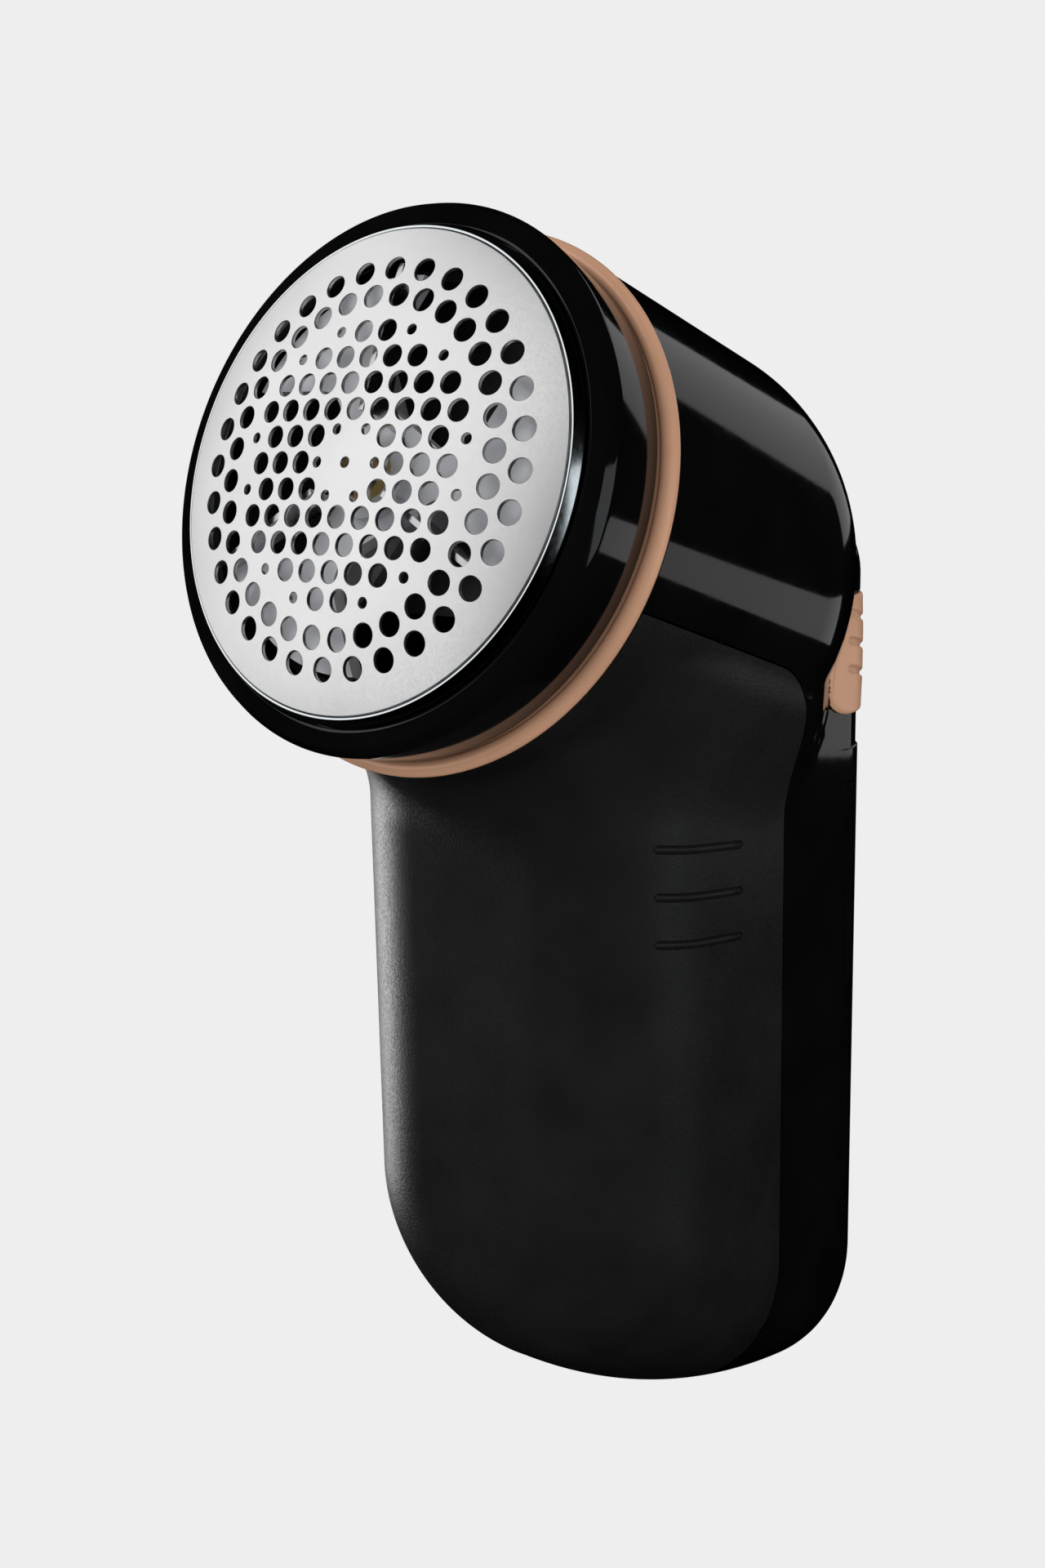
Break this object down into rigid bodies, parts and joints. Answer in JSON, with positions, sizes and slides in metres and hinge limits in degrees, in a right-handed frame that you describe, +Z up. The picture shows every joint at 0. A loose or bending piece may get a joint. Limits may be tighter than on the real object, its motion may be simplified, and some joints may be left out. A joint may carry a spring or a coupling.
{
  "type": "fabric shaver",
  "caption": "Hand-held battery fabric shaver: tilted round perforated guard over spinning blades, glossy elbow housing, matte lint container and thumb slide.",
  "frame": {"origin": "bottom centre of the bounding box", "axes": "+Z up along the handle, the cutting head faces -Y and looks up by 18 degrees"},
  "size_m": [0.0566, 0.0735, 0.1457],
  "materials": {
    "steel": "brushed and satin, domed foil",
    "chrome": "polished",
    "gloss_black": "polished, piano black",
    "matte_black": "fine spark-eroded grain",
    "copper": "satin copper lacquer",
    "grey_plastic": "moulded",
    "dark_plastic": "moulded",
    "blade_steel": "ground",
    "brass": "plain",
    "motor_steel": "drawn",
    "magnet": "sintered",
    "spring_steel": "nickel plated",
    "rubber": "soft",
    "cell": "plain printed jacket, no lettering",
    "lead": "insulated lead",
    "white_plastic": "moulded"
  },
  "bodies": {
    "body": {"accent_ring": "copper", "main_housing": "gloss_black", "switch_body": "dark_plastic", "switch_terminals": "brass", "cutter_chamber": "dark_plastic", "mouth_seal": "rubber", "motor_damper": "rubber", "motor_can": "motor_steel", "motor_end_cap": "white_plastic", "motor_magnets": "magnet", "motor_terminals": "brass", "motor_capacitor": "cell", "motor_screws": "spring_steel", "battery_cradle": "dark_plastic", "cradle_screws": "spring_steel", "contact_bridge": "spring_steel", "contact_plates": "spring_steel", "bridge_spring": "spring_steel", "plate_spring": "spring_steel", "cell_left": "cell", "cell_right": "cell", "lead_battery": "lead", "lead_motor": "lead"},
    "guard_seal": {"neck_seal": "rubber"},
    "guard": {"guard_foil": "steel", "guard_bezel": "chrome", "guard_collar": "gloss_black"},
    "rotor": {"motor_shaft": "spring_steel", "motor_armature": "motor_steel", "blade_carrier": "grey_plastic", "cutter_blade_1": "blade_steel", "cutter_blade_2": "blade_steel", "cutter_blade_3": "blade_steel", "hub_cap": "brass", "carrier_spring": "spring_steel"},
    "container": {"lint_container": "matte_black"},
    "door": {"battery_door": "gloss_black"},
    "button": {"slide_button": "copper", "switch_slider": "dark_plastic"}
  },
  "joints": [
    {"name": "rotor_spin", "type": "hinge", "parent": "body", "child": "rotor", "pos_m": [0, -0.029, 0.1202], "axis": [0, -0.95, 0.3122], "continuous": true},
    {"name": "guard_turn", "type": "hinge", "parent": "body", "child": "guard_seal", "pos_m": [0, -0.029, 0.1202], "axis": [0, -0.95, 0.3122], "range_deg": [0, 120]},
    {"name": "guard_lift", "type": "slide", "parent": "guard_seal", "child": "guard", "axis": [0, -0.95, 0.3122], "range_m": [0, 0.008]},
    {"name": "container_slide", "type": "slide", "parent": "body", "child": "container", "axis": [0, 0, -1], "range_m": [0, 0.04]},
    {"name": "door_slide", "type": "slide", "parent": "body", "child": "door", "axis": [0, 0, -1], "range_m": [0, 0.03]},
    {"name": "button_slide", "type": "slide", "parent": "body", "child": "button", "axis": [0, 0, -1], "range_m": [0, 0.004]}
  ],
  "couplings": [
    {"joint": "guard_lift", "follows": "guard_turn", "m_per_rad": 0.0038197}
  ]
}
